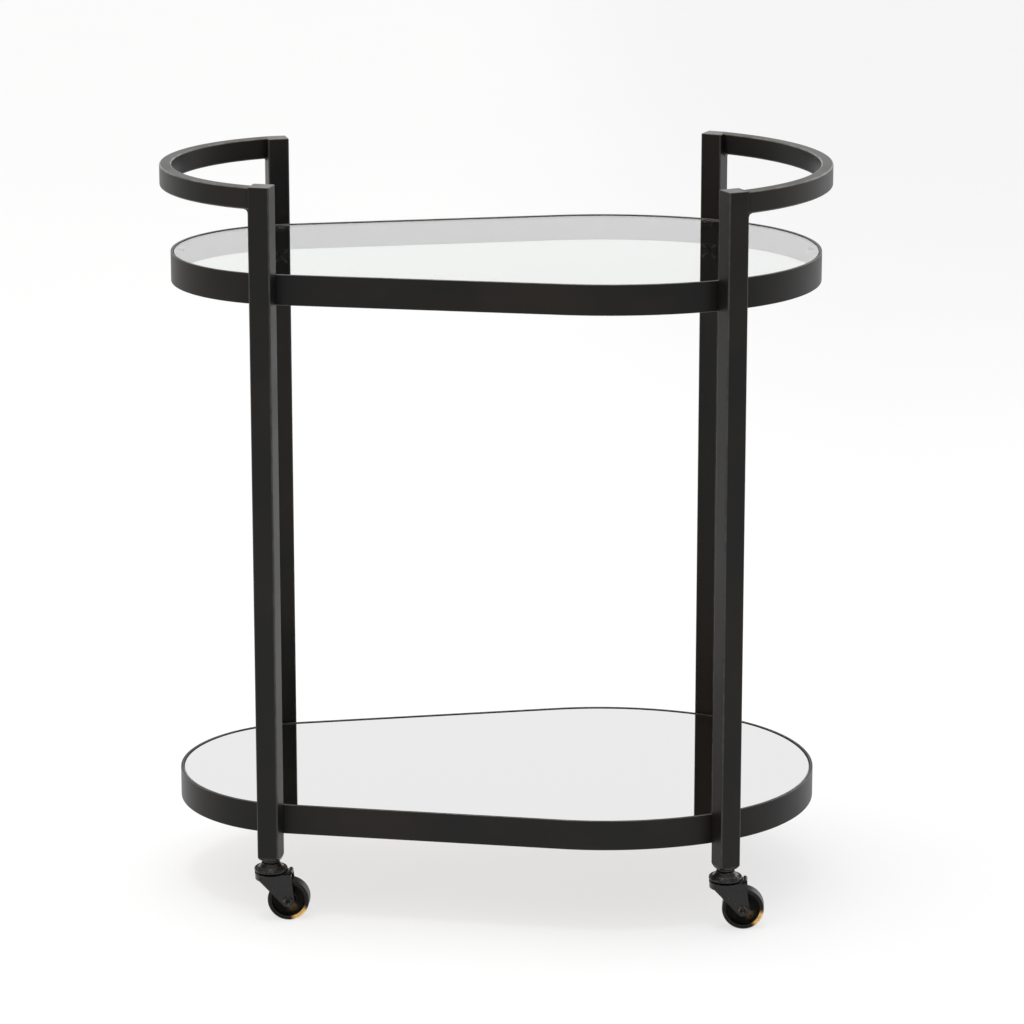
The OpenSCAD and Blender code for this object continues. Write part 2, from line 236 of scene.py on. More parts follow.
def wheel_finish(name, gloss=0.3):
    """Black over brass: the plating is worn through on one stretch of the tread's side, where the bare
    brass has a painted highlight, lighter in the middle and dark brown at the ends; and thin and
    golden brown beside the hub."""
    f = Finish(name, IOR=1.5, Specular_IOR_Level=gloss)
    ragged = f.noise(900.0, 4.0, 0.65)
    bare = (f.attribute("brass") + 0.7 * (ragged - 0.5)).ramp(0.40, 0.56)
    thin = (f.attribute("thin") * f.noise(330.0, 3.0).ramp(0.26, 0.50)).clamp()
    grain = f.noise(1300.0, 3.0)
    paler_edges = (f.attribute("edge") * f.noise(300.0).ramp(0.42, 0.60)).clamp()
    black = f.mix(f.noise(120.0).ramp(0.4, 0.7), (0.0052, 0.0048, 0.0044), (0.0100, 0.0085, 0.0068))
    rubbed = f.mix(paler_edges * 0.5, black, (0.060, 0.052, 0.042))
    stained = f.mix(thin * 0.85, rubbed, f.mix(grain, (0.10, 0.055, 0.020), (0.26, 0.18, 0.075)))
    # Bare brass painted lighter in the middle of its stretch and dark brown at its ends: a painted
    # highlight on the bare patch
    brass_with_painted_highlight = f.mix(ragged.ramp(0.36, 0.56), (0.66, 0.33, 0.08), (1.0, 0.74, 0.34))
    brass = f.mix(f.attribute("brass").ramp(0.55, 1.0), (0.34, 0.15, 0.04), brass_with_painted_highlight)
    f.set(Base_Color=f.mix(bare, stained, brass))
    f.set(Metallic=(0.1 + 0.45 * bare + 0.2 * thin).clamp())
    f.set(Roughness=(0.33 + 0.12 * grain - 0.04 * bare).clamp())
    return f.bump(grain - 0.5 * bare, 0.00004, 0.5).material


def clear_glass(name, tint):
    """Float glass: lightly tinted clear faces with faint wiping marks."""
    f = Finish(name, Transmission_Weight=1.0, IOR=1.5)
    smear = f.stretched((1.0, 0.25, 1.0), 22.0, 4.0).ramp(0.52, 0.80)
    f.set(Base_Color=f.mix(smear * 0.5, tint, tuple(0.97 * c for c in tint)))
    f.set(Roughness=(0.010 * smear).clamp())
    return f.bump(f.noise(3.0, 1.0), 0.00002, 0.15).material


def glass_edge(name):
    """Seamed edge of a pane, greener and slightly ground."""
    f = Finish(name, Transmission_Weight=0.7, IOR=1.5)
    grind = f.stretched((1.0, 1.0, 0.15), 900.0)
    f.set(Base_Color=f.mix(grind, (0.70, 0.80, 0.76), (0.80, 0.88, 0.85)))
    f.set(Roughness=(0.16 + 0.18 * grind).clamp())
    return f.bump(grind, 0.00003, 0.3).material


def silvered(name):
    """Mirror: silver seen through clear glass, with faint smears and specks of dust."""
    f = Finish(name, Metallic=1.0, Coat_Roughness=0.02, Coat_Weight=0.6)
    smear = f.stretched((1.0, 0.3, 1.0), 16.0, 4.0).ramp(0.50, 0.80)
    dust = f.noise(1600.0, 1.0).ramp(0.74, 0.82)
    f.set(Base_Color=f.mix(dust * 0.25, (0.83, 0.83, 0.83), (0.60, 0.60, 0.59)))
    f.set(Roughness=(0.012 + 0.035 * smear + 0.05 * dust).clamp())
    return f.bump(f.noise(2.5, 1.0), 0.00002, 0.15).material


def hardboard(name):
    """Pressed fibre board, brown and matt."""
    f = Finish(name)
    fibre = f.stretched((1.0, 0.2, 1.0), 420.0, 4.0)
    blotch = f.noise(14.0, 3.0)
    f.set(Base_Color=f.mix(fibre, f.mix(blotch, (0.095, 0.058, 0.034), (0.135, 0.085, 0.050)),
                           (0.19, 0.125, 0.078)))
    f.set(Roughness=(0.62 + 0.2 * fibre).clamp())
    return f.bump(fibre, 0.0001, 0.6).material


def plated(name, dull, bright, rough):
    """Bare or plated metal with fine marks."""
    f = Finish(name, Metallic=1.0)
    marks = f.noise(800.0, 4.0)
    f.set(Base_Color=f.mix(marks, dull, bright), Roughness=(rough + 0.14 * marks).clamp())
    return f.bump(marks, 0.00003, 0.4).material


def soft_pad(name):
    """Clear silicone pad, slightly milky."""
    f = Finish(name, Transmission_Weight=0.85, IOR=1.43)
    haze = f.noise(500.0, 3.0)
    f.set(Base_Color=f.mix(haze, (0.80, 0.84, 0.82), (0.90, 0.92, 0.91)))
    f.set(Roughness=(0.22 + 0.15 * haze).clamp())
    return f.bump(haze, 0.00003, 0.3).material


def pale_floor(name):
    """Seamless studio floor, lit through from below, a little greyer to the right."""
    f = Finish(name, Specular_IOR_Level=0.1, Emission_Strength=0.70)
    split = f.node("ShaderNodeSeparateXYZ", {}, {"Vector": f.place}, "X")
    right = split.ramp(-0.15, 0.75)
    f.set(Base_Color=f.mix(f.noise(1.5, 2.0), (0.27, 0.27, 0.27), (0.285, 0.285, 0.285)))
    f.set(Emission_Color=f.mix(right, (1.0, 1.0, 1.0), (0.925, 0.925, 0.93)))
    f.set(Roughness=(0.85 + 0.1 * f.noise(4.0)).clamp())
    return f.material


# ---- Mesh making ----

def turned(x, y, turn):
    """The point or points (x, y) turned by an angle in degrees."""
    c, s = cos(radians(turn)), sin(radians(turn))
    return x * c - y * s, x * s + y * c


def moved(points, turn, at):
    """Points turned about Z by an angle in degrees, then carried to at."""
    x, y = turned(points[..., 0], points[..., 1], turn)
    return np.stack([x, y, points[..., 2]], -1) + np.asarray(at)


def rounded_rect(width, height, corner, steps=6):
    """Outline of a rounded rectangle about the origin: four quarter circles in turn.

    The second result is 1 on the corners and 0 where the sides are flat."""
    quarter = np.radians(np.linspace(0, 90, steps + 1))
    turns = (quarter[None] + np.radians([0, 90, 180, 270])[:, None]).ravel()
    centre_x = np.repeat([1, -1, -1, 1], steps + 1) * (width / 2 - corner)
    centre_y = np.repeat([1, 1, -1, -1], steps + 1) * (height / 2 - corner)
    outline = np.stack([centre_x + corner * np.cos(turns), centre_y + corner * np.sin(turns)], -1)
    worn = np.tile(np.sin(np.linspace(0, pi, steps + 1)), 4)
    return outline, worn


def strip_faces(rings, around, loop_rings):
    """Quads between neighbouring rings of a grid of points, numbered ring by ring: point j of ring i
    has the number i * around + j."""
    i = np.arange(rings if loop_rings else rings - 1)[:, None]
    j = np.arange(around)[None]
    i2, j2 = (i + 1) % rings, (j + 1) % around
    corners = (i * around + j, i * around + j2, i2 * around + j2, i2 * around + j)
    return np.stack(np.broadcast_arrays(*corners), -1).reshape(-1, 4)


class Shape:
    """Gathers closed shells into one piece."""

    def __init__(self):
        self.points, self.faces, self.count = [], [], 0
        self.marks = {"edge": [], "brass": [], "thin": []}
        self.glaze = []

    def add(self, points, faces, glaze, **marks):
        """Adds points, faces, the faces' material numbers and the points' marks of wear and painted
        highlight.
        """
        points = np.asarray(points, float).reshape(-1, 3)
        self.faces += [[int(v) + self.count for v in face] for face in faces]
        self.glaze += [glaze] * len(faces) if np.isscalar(glaze) else list(glaze)
        self.points.append(points)
        self.count += len(points)
        for name, values in self.marks.items():
            given = np.asarray(marks.get(name, 0.0), float).ravel()
            values.append(np.resize(given, len(points)))
        return self

    def shell(self, rings, loop=False, glaze=0, **marks):
        """A grid of rings, joined round and along; open ends are closed with a face."""
        rings = np.asarray(rings, float)
        count, around = rings.shape[:2]
        faces = strip_faces(count, around, loop).tolist()
        if not loop:
            last = (count - 1) * around
            faces += [list(range(around))[::-1], list(range(last, last + around))]
        return self.add(rings, faces, glaze, **marks)

    def piece(self, name, body, slot, materials, stands_for, sharp=38):
        """Makes the Blender object, turns its faces outwards and gives it its place in the cart."""
        points = np.concatenate(self.points)
        mesh = bpy.data.meshes.new(name)
        mesh.from_pydata(points.tolist(), [], self.faces)
        for key, values in self.marks.items():
            layer = mesh.attributes.new(key, "FLOAT", "POINT")
            layer.data.foreach_set("value", np.concatenate(values).astype(np.float32))
        mesh.polygons.foreach_set("material_index", np.array(self.glaze, np.int32))
        build = bmesh.new()
        build.from_mesh(mesh)
        bmesh.ops.recalc_face_normals(build, faces=build.faces)
        build.to_mesh(mesh)
        build.free()
        mesh.shade_smooth()
        mesh.set_sharp_from_angle(angle=radians(sharp))
        item = bpy.data.objects.new(name, mesh)
        bpy.context.scene.collection.objects.link(item)
        flatten(item)
        for material in (materials if isinstance(materials, (list, tuple)) else [materials]):
            mesh.materials.append(material)
        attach(item, body)
        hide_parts(*stands_for)


def lathe(profile, segments=64):
    """Rings of a profile of (radius, height) points turned about Z."""
    around = np.linspace(0, 2 * pi, segments, endpoint=False)
    radius, height = np.asarray(profile, float).T
    x = radius[:, None] * np.cos(around)
    y = radius[:, None] * np.sin(around)
    return np.stack([x, y, np.broadcast_to(height[:, None], x.shape)], -1)


def fillet(points, radii, steps=4):
    """A polyline whose inner corners are rounded: each corner becomes a quadratic curve that starts
    and ends one radius away from it. The second result is 1 in the middle of a rounded corner."""
    points = np.asarray(points, float)
    radii = np.resize(radii, len(points))
    out, worn = [points[0]], [0.0]
    t = np.linspace(0, 1, steps + 1)[:, None]
    for before, corner, after, radius in zip(points, points[1:], points[2:], radii[1:]):
        to, on = before - corner, after - corner
        start = corner + to * min(0.45, radius / np.linalg.norm(to))
        end = corner + on * min(0.45, radius / np.linalg.norm(on))
        out += list((1 - t) ** 2 * start + 2 * t * (1 - t) * corner + t ** 2 * end)
        worn += list(np.sin(pi * t[:, 0]))
    return np.array(out + [points[-1]]), np.array(worn + [0.0])


def sweep(outline, path, across, up):
    """Rings of a flat outline (a, b) carried along a path: path + a * across + b * up."""
    a, b = outline[:, 0][None, :, None], outline[:, 1][None, :, None]
    return path[:, None] + a * across[:, None] + b * up[:, None]


def arc(cx, cy, r, start, end, step=1.0):
    """Points and outward directions along an arc, from start up to but not including end."""
    count = max(2, round((end - start) / step))
    a = np.radians(np.linspace(start, end, count, endpoint=False))
    ray = np.stack([np.cos(a), np.sin(a)], -1)
    return np.array([cx, cy]) + r * ray, ray


# ---- Plan of the cart ----

LEFT_CX, RIGHT_CX = LEFT_R - TRAY_LEN / 2, TRAY_LEN / 2 - RIGHT_R
SHOULDER_CY = TRAY_DEPTH / 2 - SHOULDER_R
SHOULDER_CX = RIGHT_CX - sqrt((SHOULDER_R - RIGHT_R) ** 2 - SHOULDER_CY ** 2)
BLEND_A = degrees(atan2(-SHOULDER_CY, RIGHT_CX - SHOULDER_CX))
SIDE_DX = SHOULDER_CX - LEFT_CX
SIDE_A = degrees(atan2(SHOULDER_CY, SIDE_DX)
                 + acos((LEFT_R - SHOULDER_R) / sqrt(SIDE_DX ** 2 + SHOULDER_CY ** 2)))


def tray_outline():
    """The tray's edge in plan with its outward directions: broad end, shoulder, narrow end,
    shoulder. The straight sides lie between the shoulder and narrow-end arcs."""
    parts = [
        arc(RIGHT_CX, 0, RIGHT_R, -BLEND_A, BLEND_A),
        arc(SHOULDER_CX, SHOULDER_CY, SHOULDER_R, BLEND_A, SIDE_A),
        side_points(1),
        arc(LEFT_CX, 0, LEFT_R, SIDE_A, 360 - SIDE_A),
        side_points(-1),
        arc(SHOULDER_CX, -SHOULDER_CY, SHOULDER_R, 360 - SIDE_A, 360 - BLEND_A),
    ]
    points, rays = (np.concatenate(part) for part in zip(*parts))
    return points, rays


def side_points(side, count=24):
    """Points along a straight side, from shoulder to narrow end at the back and the other way at the
    front: start (1 - t) + end t."""
    a = radians(SIDE_A) * side
    ray = np.array([cos(a), sin(a)])
    shoulder = np.array([SHOULDER_CX, SHOULDER_CY * side]) + SHOULDER_R * ray
    narrow = np.array([LEFT_CX, 0]) + LEFT_R * ray
    ends = (shoulder, narrow) if side > 0 else (narrow, shoulder)
    t = np.linspace(0, 1, count, endpoint=False)[:, None]
    return ends[0] * (1 - t) + ends[1] * t, np.repeat(ray[None], count, 0)


def middle(node):
    """Middle of a node's box."""
    lo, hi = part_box(node)
    return (lo + hi) / 2


def post_place(corner):
    """Turn and foot of a post; in its own frame +Y points away from the trays."""
    end, row = END[corner], ROW[corner]
    turn = -end * POST_TURN[end] if row > 0 else 180 + end * POST_TURN[end]
    centre = middle(f"post_{corner}")
    return turn, (centre.x, centre.y, 0.0)


def handle_arc(end):
    """Centre, outer radius and half angle of a handle: its outer face runs from the outer corner of
    one post, round the end, to the other."""
    corner = "back_right" if end > 0 else "back_left"
    turn, (px, py, _) = post_place(corner)
    dx, dy = turned(end * POST_W / 2, POST_W / 2, turn)
    reach, depth = HANDLE_SPAN / 2 - end * (px + dx), py + dy
    radius = (reach ** 2 + depth ** 2) / (2 * reach)
    centre = end * (HANDLE_SPAN / 2 - radius)
    return centre, radius, degrees(atan2(depth, end * (px + dx - centre)))


def at_post(points, corner):
    """Points of a post's own frame carried to their place in the cart."""
    turn, foot = post_place(corner)
    return moved(points, turn, foot)


def at_caster(points, corner):
    """Points of a caster's own frame, whose +X points to the trailing wheel, in their place."""
    stem = middle(f"stem_{corner}")
    return moved(points, CASTER_TURN[corner], (stem.x, stem.y, 0.0))


def at_axle(rings, corner):
    """Rings turned about Z, laid along the axle of a caster."""
    x, y, z = np.moveaxis(rings, -1, 0)
    return at_caster(np.stack([TRAIL + x, z, WHEEL_R + y], -1), corner)


# ---- Sections and plates ----

def softened(low, high, soft, steps=3):
    """(inset, height) levels of a block whose lower and upper edges are quarter rounds."""
    a = np.radians(np.linspace(90, 0, steps + 1))
    inset, rise = soft * (1 - np.cos(a)), soft * (1 - np.sin(a))
    lower = np.stack([inset, low + rise], -1)
    return np.concatenate([lower, np.stack([inset, high - rise], -1)[::-1]])


def block(width, depth, corner, levels, steps=6):
    """Rings of a rounded rectangle that shrinks by the inset of each (inset, height) level."""
    rings = []
    for inset, height in levels:
        outline, worn = rounded_rect(width - 2 * inset, depth - 2 * inset,
                                     max(corner - inset, 0.15 * MM), steps)
        rings.append(np.column_stack([outline, np.full(len(outline), height)]))
    return np.array(rings), worn


def block_edge_wear_and_highlight(worn, levels):
    """Edge mark, wear and painted highlight, along the upright corners, and all round where a level is
    inset.
    """
    inset = np.array([level[0] for level in levels]) > 0
    return np.maximum(worn[None], inset[:, None]).ravel()


def square_block(width, depth, corner, low, high, soft):
    """Rings and edge mark, wear and painted highlight, of an upright block whose upper and lower edges
    are eased alike.
    """
    levels = softened(low, high, soft)
    rings, worn = block(width, depth, corner, levels)
    return rings, block_edge_wear_and_highlight(worn, levels)


# ---- Posts and handles ----

def post(corner):
    """Square tube with eased ends; its upright corners get less of the pale edge mark, wear and
    painted highlight, than the edges elsewhere.
    """
    node = f"post_{corner}"
    lo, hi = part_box(node)
    rings, wear = square_block(POST_W, POST_W, POST_CORNER, lo.z, hi.z, 0.8 * MM)
    Shape().shell(at_post(rings, corner), edge=0.35 * wear).piece(
        f"{node}_tube", "root", "frame_black", COAT, [node])


def post_top_plates():
    """Plates welded in the tops of the tubes and ground flush, just under the skin."""
    shape, lo, hi = Shape(), *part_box("post_top_plates")
    width = POST_W - 2 * TUBE_WALL
    for corner in CORNERS:
        rings, wear = square_block(width, width, 0.5 * MM, lo.z, hi.z - 0.2 * MM, 0.2 * MM)
        shape.shell(at_post(rings, corner), edge=wear)
    shape.piece("top_plates", "root", "frame_black", COAT, ["post_top_plates"])


def post_feet():
    """Bungs: a flange that swells from a near-circle to the tube's square, and a plug inside it.

    With s from 0 to 1 up the flange, its width is short of the post's by taper (1 - s)^3, its corner
    radius is square + more_round (1 - s), and its height is s^1.4 of the whole."""
    shape, lo, hi = Shape(), *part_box("post_bungs")
    flange, taper, square, more_round = 4 * MM, 1.6 * MM, 2.2, 9
    plug, plug_corner = POST_W - 2 * TUBE_WALL - 0.2 * MM, 0.6 * MM
    levels = [(POST_W - taper * (1 - s) ** 3, (square + more_round * (1 - s)) * MM,
               lo.z + flange * s ** 1.4) for s in np.linspace(0, 1, 7)]
    levels += [(plug, plug_corner, lo.z + flange), (plug, plug_corner, hi.z)]
    rings = []
    for width, radius, z in levels:
        outline, _ = rounded_rect(width, width, radius)
        rings.append(np.column_stack([outline, np.full(len(outline), z)]))
    for corner in CORNERS:
        shape.shell(at_post(np.array(rings), corner), edge=0.2)
    shape.piece("post_feet", "root", "frame_black", CASTER, ["post_bungs"])


def handle(end, node):
    """Rounded box section carried round the handle's arc. Both ends run on by a small angle, dive,
    and a small step towards the middle, dip, so that they end inside their post."""
    centre, radius, half = handle_arc(end)
    lo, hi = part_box(node)
    outline, worn = rounded_rect(HANDLE_T, HANDLE_H, POST_CORNER)
    dive, dip = 0.9, 0.9 * MM
    a = np.radians(np.concatenate([[-half - dive], np.linspace(-half, half, 141), [half + dive]]))
    ray = np.stack([end * np.cos(a), np.sin(a), 0 * a], -1)
    path = np.array([centre, 0, (lo.z + hi.z) / 2]) + (radius - HANDLE_T / 2) * ray
    rings = sweep(outline, path, ray, np.broadcast_to([0.0, 0.0, 1.0], ray.shape))
    rings[[0, -1]] -= dip * ray[[0, -1], None]
    Shape().shell(rings, edge=np.tile(worn, len(path))).piece(
        f"{node}_tube", "root", "frame_black", COAT, [node])


def handle_welds():
    """Fillet under each handle end: a section bounded by the tube, the post and a hollow quarter
    circle, thinning out towards its two ends as (1 - (2t - 1)^12) ^ 0.5 with t along it."""
    shape, lo, hi = Shape(), *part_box("handle_welds")
    leg, root, length = hi.z - lo.z, 0.6 * MM, HANDLE_T - 1.2 * MM
    a = np.radians(np.linspace(180, 90, 9))
    hollow = np.stack([leg + leg * np.cos(a), -leg + leg * np.sin(a)], -1)
    section = np.concatenate([[(-root, root), (-root, -leg)], hollow, [(leg, root)]])
    t = 0.5 - 0.5 * np.cos(np.linspace(0.10, pi - 0.10, 21))
    size = np.sqrt(1 - (2 * t - 1) ** 12)
    for corner in CORNERS:
        side = END[corner] * ROW[corner]
        start_y = POST_W / 2 - 0.3 * MM - length
        x = side * (POST_W / 2 + size[:, None] * section[None, :, 0])
        z = hi.z + size[:, None] * section[None, :, 1]
        y = np.broadcast_to((start_y + length * t)[:, None], x.shape)
        shape.shell(at_post(np.stack([x, y, z], -1), corner))
    shape.piece("handle_fillets", "root", "frame_black", COAT, ["handle_welds"])


# ---- Trays ----

def rim(node):
    """Flat bar with eased edges carried round the tray outline."""
    lo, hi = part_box(node)
    points, rays = tray_outline()
    outline, worn = rounded_rect(RIM_T, hi.z - lo.z, RIM_EDGE, 4)
    ray = np.column_stack([rays, np.zeros(len(rays))])
    path = np.column_stack([points, np.full(len(points), (lo.z + hi.z) / 2)]) - ray * RIM_T / 2
    rings = sweep(outline, path, ray, np.broadcast_to([0.0, 0.0, 1.0], ray.shape))
    Shape().shell(rings, loop=True, edge=np.tile(worn, len(path))).piece(
        f"{node}_band", "root", "frame_black", COAT, [node])


def pane(node, name, slot, materials, levels, faces):
    """Sheet cut to the tray outline, less the rim and its gap, with its edge given by (inset,
    height) levels from the lower face up; faces are the material numbers of its edge, underside and
    top."""
    lo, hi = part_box(node)
    points, rays = tray_outline()
    rings = np.array([
        np.column_stack([points - rays * (RIM_T + PANE_GAP + inset), np.full(len(points), z)])
        for inset, z in levels(lo.z, hi.z)])
    sides = (len(rings) - 1) * len(points)
    edge, under, top = faces
    Shape().shell(rings, glaze=[edge] * sides + [under, top]).piece(
        name, "root", slot, materials, [node], sharp=25)


def arrises(under, drop, over):
    """Edge levels of a pane: an even arris below, and above it one that takes drop off the height of
    the edge and over off the width of the face."""
    return lambda low, high: [(under, low), (0, low + under), (0, high - drop), (over, high)]


def support_places():
    """Turn and place of the six frames on the rim: one at each post and one at each end."""
    for corner in CORNERS:
        turn, (x, y, _) = post_place(corner)
        dx, dy = turned(0, -POST_W / 2, turn)
        yield turn, (x + dx, y + dy, 0.0)
    for end in (-1, 1):
        yield -90 * end, (end * TRAY_LEN / 2, 0.0, 0.0)


def supports(node):
    """Flat tabs inside the rim, let a little into it."""
    shape, lo, hi = Shape(), *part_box(node)
    reach, let_in = 17 * MM, 0.6 * MM
    outer = RIM_T - let_in
    rings, wear = square_block(EAR_W, reach - outer, 2 * MM, lo.z, hi.z, 0.4 * MM)
    rings[..., 1] -= (reach + outer) / 2
    for turn, place in support_places():
        shape.shell(moved(rings, turn, place), edge=wear)
    shape.piece(f"{node}_plates", "root", "frame_black", COAT, [node])


def bumpers():
    """Round pads with eased edges under the glass."""
    shape, lo, hi = Shape(), *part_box("top_bumpers")
    radius, ease, from_rim = 4 * MM, 0.3 * MM, 9 * MM
    profile = [(radius - inset, z) for inset, z in softened(lo.z, hi.z, ease)]
    rings = lathe(profile, 40)
    rings[..., 1] -= RIM_T + from_rim
    for turn, place in support_places():
        shape.shell(moved(rings, turn, place))
    shape.piece("glass_pads", "root", "bumper", PAD, ["top_bumpers"])


def tabs(node):
    """Ears with a screw hole: the rings run over the outer edge, across the face, through the hole
    and back across the other face."""
    shape, lo, hi = Shape(), *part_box(node)
    height, hole, drop, soft = hi.z - lo.z, 3.2 * MM, 8 * MM, 0.4 * MM
    rings, worn = block(EAR_W, height, 3 * MM, softened(0, RIM_T, soft))
    hole_y = height / 2 - drop
    a = np.arctan2(rings[0, :, 1] - hole_y, rings[0, :, 0])
    bore = np.stack([hole * np.cos(a), hole_y + hole * np.sin(a)], -1)
    through = [np.column_stack([bore, np.full(len(a), z)]) for z in (RIM_T, 0)]
    rings = np.concatenate([rings, through])
    x, up, out = np.moveaxis(rings, -1, 0)
    placed = np.stack([x, -POST_W / 2 - out, (lo.z + hi.z) / 2 + up], -1)
    wear = np.tile(worn, len(rings))
    for corner in CORNERS:
        shape.shell(at_post(placed, corner), loop=True, edge=wear)
    shape.piece(f"{node}_ears", "root", "frame_black", COAT, [node])


def screws(node):
    """Button heads: circles above the flange, a hexagon socket inside, and the shank behind. Each row
    is a radius, a height above the ear's face, both in millimetres, and the share of the hexagon in
    its ring: r where it is round and r cos 30 / cos(a - 30), a within each sixth, on the hexagon."""
    shape, lo, hi = Shape(), *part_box(node)
    a = np.linspace(0, 2 * pi, 60, endpoint=False)
    hexagon = cos(pi / 6) / np.cos(a % (pi / 3) - pi / 6)
    dome_r, dome_drop, head_r, shank_r, shank, key_r = 5.4, 2.6, 4.75, 3.0, 10.2, 2.0
    crown = [(r, sqrt(dome_r ** 2 - r ** 2) - dome_drop, 0) for r in np.linspace(2.5, 4.6, 8)]
    rows = np.array([(0.8, 1, 1), (key_r, 1, 1), (key_r, 2.15, 1), (key_r + 0.2, 2.3, 0.85), *crown,
                     (head_r, 0.12, 0), (head_r, 0, 0), (shank_r, 0, 0), (shank_r, -shank, 0)])
    radius, out, six = np.moveaxis(rows[..., None], 1, 0)
    ring_r = MM * radius * (six * hexagon + 1 - six)
    x, z = ring_r * np.cos(a), (lo.z + hi.z) / 2 + ring_r * np.sin(a)
    y = np.broadcast_to(-POST_W / 2 - RIM_T - MM * out, x.shape)
    wear = np.repeat((six[:, 0] > 0) | (radius[:, 0] > 4.5), len(a))
    for corner in CORNERS:
        shape.shell(at_post(np.stack([x, y, z], -1), corner), edge=wear)
    shape.piece(f"{node}_buttons", "root", "screw_black", SCREW, [node])


# ---- Casters ----

def turned_profile(points, radii, closed=True):
    """A profile in millimetres with its corners rounded; a closed one starts and ends at one point."""
    profile, worn = fillet(np.asarray(points, float), radii)
    return (profile[:-1] * MM, worn[:-1]) if closed else (profile * MM, worn)


def mirrored_profile(start, side, radii):
    """Closed profile from a point at mid height, over one side and back over its mirror image."""
    other = [(radius, -height) for radius, height in side[::-1]]
    return turned_profile([start, *side, *other, start], [0, *radii, *radii[::-1], 0])


def stem(corner):
    """Riveted foot, journal, collar and threaded shank, turned in one profile. The thread's points
    stand half a pitch apart and lie in turn on its crest and its root."""
    lo, hi = (level.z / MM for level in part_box(f"stem_{corner}"))
    collar, under_post = (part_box(f"race_plate_{corner}")[1].z / MM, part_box("post_bungs")[0].z / MM)
    dimple_r, foot_r, neck = 1.9, 6.2, 0.6
    step, depth, foot_top = 0.5, 0.25, lo + 2.3
    turns = np.arange(1, int((hi - under_post - 1) / step))
    thread = np.stack([JOURNAL_R - depth * (turns % 2), under_post + neck + step * turns], -1)
    profile, worn = turned_profile(
        [(dimple_r, lo), (foot_r, lo), (foot_r, foot_top), (JOURNAL_R, foot_top),
         (JOURNAL_R, collar), (COLLAR_R, collar), (COLLAR_R, under_post), (JOURNAL_R, under_post),
         (JOURNAL_R, under_post + neck)], 0.6, closed=False)
    profile = np.concatenate([profile, thread * MM])
    worn = np.concatenate([worn, np.zeros(len(thread))])
    rings = at_caster(lathe(profile, 56), corner)
    Shape().shell(rings, edge=np.repeat(worn, 56)).piece(
        f"stem_{corner}_turned", "root", "caster_black", CASTER, [f"stem_{corner}"])


def race(corner):
    """Domed upper race pressed from sheet, with a groove round its brim: a closed profile turned
    about the stem, down the bore, out under the dome and back over it."""
    lo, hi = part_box(f"race_plate_{corner}")
    lip, wall = 0.9, 2.4
    z, top = lo.z / MM + lip, (hi.z - lo.z) / MM - lip
    start = (JOURNAL_R, top - wall / 2)
    path = [start, (JOURNAL_R, top - wall), (8.8, top - wall), (11.8, 0.4), (12.2, 0), (17.6, 0),
            (17.8, -lip), (RACE_R, -lip), (RACE_R, 1.2), (18.6, 2.2), (17.6, 2.4), (17, 1.7),
            (16.2, 1.7), (15.6, 2.7), (14.2, 3.2), (10.6, top - 0.4), (9.8, top), (JOURNAL_R, top),
            start]
    radii = [0, 0.3, 1.2, 0.5, 0.5, 0.3, 0.3, 0.4, 0.8, 0.5, 0.4, 0.3, 0.3, 0.4, 1.6, 1.2, 0.7, 0.3, 0]
    profile, worn = turned_profile([(r, z + h) for r, h in path], radii)
    rings = at_caster(lathe(profile, 72), corner)
    Shape().shell(rings, loop=True, edge=0.6 * np.repeat(worn, 72)).piece(
        f"race_{corner}_domed", "root", "caster_black", CASTER, [f"race_plate_{corner}"])


def fork(corner):
    """The fork's sheet with its bends and cut edges eased."""
    node = f"fork_{corner}"
    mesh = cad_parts[node].data.copy()
    mesh.materials.clear()
    build = bmesh.new()
    build.from_mesh(mesh)
    bmesh.ops.remove_doubles(build, verts=build.verts, dist=0.002 * MM)
    bmesh.ops.dissolve_limit(build, angle_limit=radians(0.5), verts=build.verts, edges=build.edges)
    bmesh.ops.recalc_face_normals(build, faces=build.faces)
    build.to_mesh(mesh)
    build.free()
    mesh.shade_smooth()
    item = bpy.data.objects.new(f"{node}_pressing", mesh)
    bpy.context.scene.collection.objects.link(item)
    mesh.materials.append(CASTER)
    ease = item.modifiers.new("eased edges", "BEVEL")
    ease.width, ease.segments, ease.limit_method = 0.45 * MM, 3, "ANGLE"
    ease.angle_limit, ease.harden_normals = radians(35), False
    flatten(item)
    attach(item, f"swivel_{corner}")
    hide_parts(node)


def flatten(item):
    """Flat faces keep their own direction beside small rounds."""
    item.modifiers.new("flat faces", "WEIGHTED_NORMAL").keep_sharp = True


def rivet(corner):
    """Tubular axle rivet with rolled heads over both legs."""
    head = [(RIVET_R, LEG_FACE), (RIVET_HEAD_R, LEG_FACE), (RIVET_HEAD_R, LEG_FACE + 0.5),
            (5.1, RIVET_TOP), (3.5, RIVET_TOP), (RIVET_BORE_R, LEG_FACE + 0.1)]
    profile, worn = mirrored_profile((RIVET_R, 0), head, [0.1, 0.2, 0.5, 0.7, 0.8, 0.5])
    rings = at_axle(lathe(profile, 48), corner)
    Shape().shell(rings, loop=True, edge=0.4 + 0.6 * np.repeat(worn, 48)).piece(
        f"axle_{corner}_rivet", f"swivel_{corner}", "caster_black", CASTER, [f"axle_{corner}"])


def bush(corner):
    """Plain sleeve pressed into the hub."""
    end = [(BUSH_R, -HUB_HALF), (BUSH_R + BUSH_WALL, -HUB_HALF)]
    profile, _ = mirrored_profile((BUSH_R, 0), end, [0.2, 0.2])
    rings = at_axle(lathe(profile, 40), corner)
    Shape().shell(rings, loop=True).piece(
        f"bush_{corner}_sleeve", f"wheel_{corner}", "bush_brass", BRASS, [f"bush_{corner}"])


